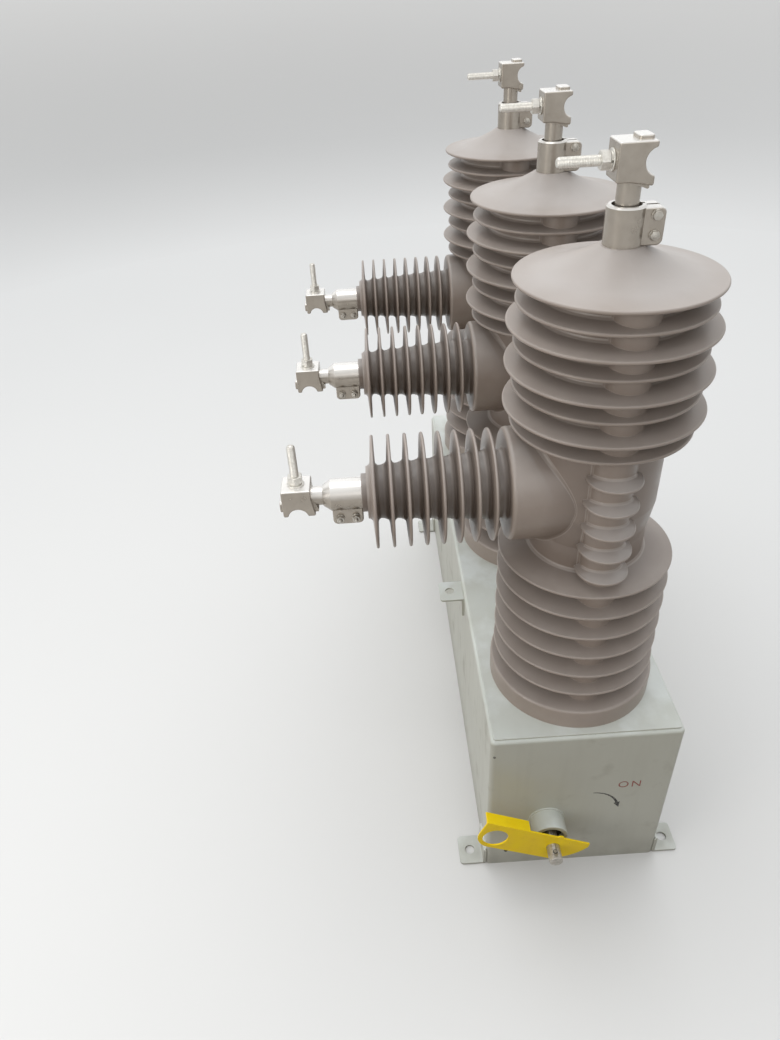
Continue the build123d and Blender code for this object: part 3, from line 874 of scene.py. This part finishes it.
def washer(shape, place, radius, bore, thickness, edge=0.3, steps=64):
    """A flat washer with its outer edges cut off by edge."""
    profile = (
        (bore, 0), (radius - edge, 0), (radius, edge),
        (radius, thickness - edge), (radius - edge, thickness), (bore, thickness),
    )
    shape.lathe(profile, place, steps, closed=True)


def spring_ring(shape, place, radius, bore, thickness):
    """A split spring washer, its ends a little apart in height."""
    steps = 40
    start = radians(8)
    sweep = radians(344)
    lift = 0.35
    rows = []
    for j in range(steps + 1):
        turn = start + sweep * j / steps
        low = lift * j / steps
        high = thickness - lift + low
        corners = ((bore, low), (radius, low), (radius, high), (bore, high))
        rows.append([place @ Vector((r * cos(turn), r * sin(turn), h)) for r, h in corners])
    shape.rows(rows, caps=True)


def up_by(place, height):
    """The same place, further along its own Z."""
    return place @ Matrix.Translation((0, 0, height))


# Terminals: threaded studs with nuts, and the bolts that close the clamps

def terminal_seats(name):
    """The seats of a pole's two terminals: local Z out along the neck, Y to the groove."""
    low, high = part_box(f"pole_{name}_top_connector")
    pole_x = (low[0] + high[0]) / 2 / MM
    top = frame_matrix((pole_x, 0, low[2] / MM), (1, 0, 0), (0, 0, 1))
    low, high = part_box(f"pole_{name}_side_connector")
    side = frame_matrix((pole_x, high[1] / MM, BUSHING_HEIGHT), (-1, 0, 0), (0, -1, 0))
    return pole_x, {"top": top, "side": side}


def stud(name, seat):
    """A terminal's threaded stud with a washer, a spring washer and a nut."""
    face = seat @ frame_matrix((0, -STUD_SIDE, BLOCK_CENTRE), (1, 0, 0), (0, -1, 0))
    thread_start = 1.0
    flat_height = 1.8
    spring_height = 2.2
    shape = Shape()
    thread(shape, up_by(face, thread_start), STUD_LENGTH - thread_start, STUD_RADIUS, THREAD_PITCH)
    washer(shape, face, radius=12.0, bore=5.6, thickness=flat_height)
    spring_ring(shape, up_by(face, flat_height), radius=9.3, bore=5.6, thickness=spring_height)
    hex_ring(shape, up_by(face, flat_height + spring_height), across=18.9, height=10.3, bore=5.4)
    piece = shape.piece(f"{name}_thread", "breaker", "stud_steel", sharp=50)
    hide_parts(name)


def clamp_bolts(name, seat, places):
    """Two bolts across the clamp's ears, with their heads towards the seat's X."""
    crown = ((3.3, 0.4), (3.2, 3.7), (2.6, 4.0), (1.2, 4.1), (0.1, 4.1))
    shank = ((BOLT_RADIUS, 0), (BOLT_RADIUS, 2 * EAR_FACE))
    shape = Shape()

    def end_washer(place):
        washer(shape, place, radius=6.0, bore=3.1, thickness=BOLT_WASHER, edge=0.2, steps=40)
        return up_by(place, BOLT_WASHER)

    for place_z in places:
        axis = seat @ frame_matrix((0, EAR_BOLT_Y, place_z), (0, 1, 0), (1, 0, 0))
        head = end_washer(up_by(axis, EAR_FACE))
        hex_ring(shape, head, BOLT_ACROSS, height=4.0, bore=3.0, chamfer_low=False, steps=48)
        shape.lathe(crown, head, 24, caps=True)
        shape.lathe(shank, up_by(axis, -EAR_FACE), 24, caps=True)
        tail = up_by(axis @ Matrix.Rotation(pi, 4, "X"), EAR_FACE)
        hex_ring(shape, end_washer(tail), BOLT_ACROSS, height=5.0, bore=2.8, steps=48)
        thread(shape, tail, BOLT_TAIL, BOLT_RADIUS, BOLT_PITCH, steps=20)
    shape.piece(f"{name}_bolts", "breaker", "shaft_steel", sharp=50)


for name in ("a", "b", "c"):
    pole_x, seats = terminal_seats(name)
    pole_roots(name, pole_x)
    for end, seat in seats.items():
        stud(f"pole_{name}_{end}_stud", seat)
    clamp_bolts(f"pole_{name}_top_clamp", seats["top"], TOP_BOLTS)
    clamp_bolts(f"pole_{name}_side_clamp", seats["side"], SIDE_BOLTS)


# Housing: weld beads, plug screws and markings

def weld_bead(shape, start, end):
    """A welded seam: a round bead with ripples along it, thinner at its ends."""
    radius = 1.9
    ripple = 2.6
    ripple_depth = 0.10
    step = 0.65
    end_size = 0.35
    end_length = 2.5
    around = 10
    start, end = Vector(start), Vector(end)
    along = (end - start).normalized()
    side = along.orthogonal().normalized()
    other = along.cross(side)
    length = (end - start).length
    count = max(8, int(length / step))
    turns = [2 * pi * j / around for j in range(around)]
    rows = []
    for i in range(count + 1):
        at = length * i / count
        taper = min(1.0, end_size + min(at, length - at) / end_length)
        size = radius * taper * (1 + ripple_depth * sin(2 * pi * at / ripple))
        centre = start + along * at
        rows.append([centre + side * size * cos(t) + other * size * sin(t) for t in turns])
    shape.rows(rows, caps=True)


def bracket_welds():
    """Beads down both ends of every bracket's leg where it meets the wall, and one along
    the top of each foot."""
    end_inset = 1.2
    top_inset = 1.5
    low_insets = {"foot": 3.0, "lug": 1.5}
    across_inset = 2
    for corner in CORNERS:
        for kind, low_inset in low_insets.items():
            low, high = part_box(f"{kind}_{corner}")
            low, high = Vector(low) / MM, Vector(high) / MM
            wall = high.y if corner.startswith("front") else low.y
            shape = Shape()
            for x in (low.x + end_inset, high.x - end_inset):
                weld_bead(shape, (x, wall, low.z + low_inset), (x, wall, high.z - top_inset))
            if kind == "foot":
                left, right = low.x + across_inset, high.x - across_inset
                weld_bead(shape, (left, wall, high.z), (right, wall, high.z))
            shape.piece(f"{kind}_{corner}_weld", "breaker", "housing_paint", sharp=80)


def end_plugs():
    """Small plugs that close holes in the +X end wall: black below, grey above."""
    for name, y, z, size, look in (
        ("lower", -117.0, 40.0, 3.4, LOOKS["seal_rubber"]),
        ("upper", -146.0, 312.0, 2.2, GREY_PLUG),
    ):
        shape = Shape()
        place = frame_matrix((HOUSING_END, y, z), (0, 1, 0), (1, 0, 0))
        rim = (
            (0.03, -1.0), (1.0, -1.0), (1.0, 0.5),
            (0.88, 0.9), (0.65, 0.9), (0.53, 0.3), (0.03, 0.2),
        )
        shape.lathe([(size * r, h) for r, h in rim], place, 32, caps=True)
        shape.piece(f"end_wall_plug_{name}", "breaker", "seal_rubber", look)


def pin_groove():
    """Dark rings round both ends of the lever's cross pin, in the shaft's surface."""
    low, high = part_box("handle_pin")
    centre_x = (low[0] + high[0]) / 2 / MM
    pin_radius = (high[0] - low[0]) / 2 / MM
    low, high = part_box("handle_shaft")
    shaft_radius = (high[2] - low[2]) / 2 / MM
    ring_width = 1.2
    proud = 0.3
    sunk = -0.4
    section = ((0.0, sunk), (0.0, proud), (ring_width, proud), (ring_width, sunk))
    shape = Shape()
    steps = 40
    for side in (-1, 1):
        rows = []
        for j in range(steps):
            turn = 2 * pi * j / steps
            row = []
            for width, rise in section:
                r = pin_radius + width
                x = centre_x + r * cos(turn)
                across = r * sin(turn)
                out = sqrt(shaft_radius ** 2 - across ** 2) + rise
                row.append((x, LEVER_PIVOT.y + across, LEVER_PIVOT.z + side * out))
            rows.append(row)
        shape.rows(rows, closed=True)
    shape.piece("handle_pin_groove", "handle", "shaft_steel", LOOKS["seal_rubber"])


def collar_weld():
    """The ring of weld that holds the lever's collar to the end wall."""
    bead = 2.3
    ripple_depth = 0.09
    ripples = 62
    steps = 150
    around = 8
    sunk = -1.0
    shape = Shape()
    place = frame_matrix((HOUSING_END, LEVER_PIVOT.y, LEVER_PIVOT.z), (0, 1, 0), (1, 0, 0))
    rows = []
    for j in range(steps):
        turn = 2 * pi * j / steps
        size = bead * (1 + ripple_depth * sin(turn * ripples))
        row = []
        for i in range(around):
            bend = 2 * pi * i / around
            r = COLLAR_RADIUS + size * cos(bend)
            row.append(place @ Vector((r * cos(turn), r * sin(turn), max(sunk, size * sin(bend)))))
        rows.append(row)
    shape.rows(rows, closed=True)
    shape.piece("handle_collar_weld", "breaker", "housing_paint", sharp=80)


def turn_arrow():
    """A curved arrow on the end wall that shows which way the lever turns."""
    centre_y, centre_z, radius = 23.0, 153.0, 45.0
    back, front = HOUSING_END - 0.2, HOUSING_END + 0.12
    first_angle, sweep = 90, 72
    tail_half, widening = 0.7, 1.5
    head_half, head_length = 5.6, 15
    steps = 18
    rows = []
    for i in range(steps + 1):
        share = i / steps
        turn = radians(first_angle - sweep * share)
        half = tail_half + widening * share
        outer, inner = radius + half, radius - half
        corners = ((back, outer), (front, outer), (front, inner), (back, inner))
        rows.append([
            (x, centre_y + r * cos(turn), centre_z + r * sin(turn)) for x, r in corners
        ])
    end = radians(first_angle - sweep)
    middle = Vector((centre_y + radius * cos(end), centre_z + radius * sin(end)))
    across = Vector((cos(end), sin(end)))
    ahead = Vector((sin(end), -cos(end)))
    head = [
        middle + across * head_half,
        middle - across * head_half,
        middle + ahead * head_length,
    ]
    shape = Shape()
    shape.rows(rows, caps=True)
    shape.rows([[(x, p.x, p.y) for p in head] for x in (back, front)], caps=True)
    shape.piece("turn_arrow", "breaker", "housing_paint", BLACK_INK)


def end_word():
    """The word ON beside the arrow, in the built-in letters."""
    size, depth = 23, 0.06
    centre_y, base_z = 81.5, 209.0
    curve = bpy.data.curves.new("on_mark", "FONT")
    curve.body = "ON"
    curve.size = size * MM
    curve.space_character = 1.25
    curve.align_x = "CENTER"
    curve.extrude = depth * MM
    text = bpy.data.objects.new("on_mark_source", curve)
    scene.collection.objects.link(text)
    bpy.context.view_layer.update()
    evaluated = text.evaluated_get(bpy.context.evaluated_depsgraph_get())
    mesh = bpy.data.meshes.new_from_object(evaluated)
    bpy.data.objects.remove(text)
    wall = frame_matrix((HOUSING_END + depth, centre_y, base_z), (0, 1, 0), (1, 0, 0))
    wall.translation *= MM
    mesh.transform(wall)
    mesh.name = "on_mark"
    attach(bpy.data.objects.new("on_mark", mesh), "breaker", "housing_paint", RED_INK)


bracket_welds()
end_plugs()
pin_groove()
collar_weld()
turn_arrow()
end_word()
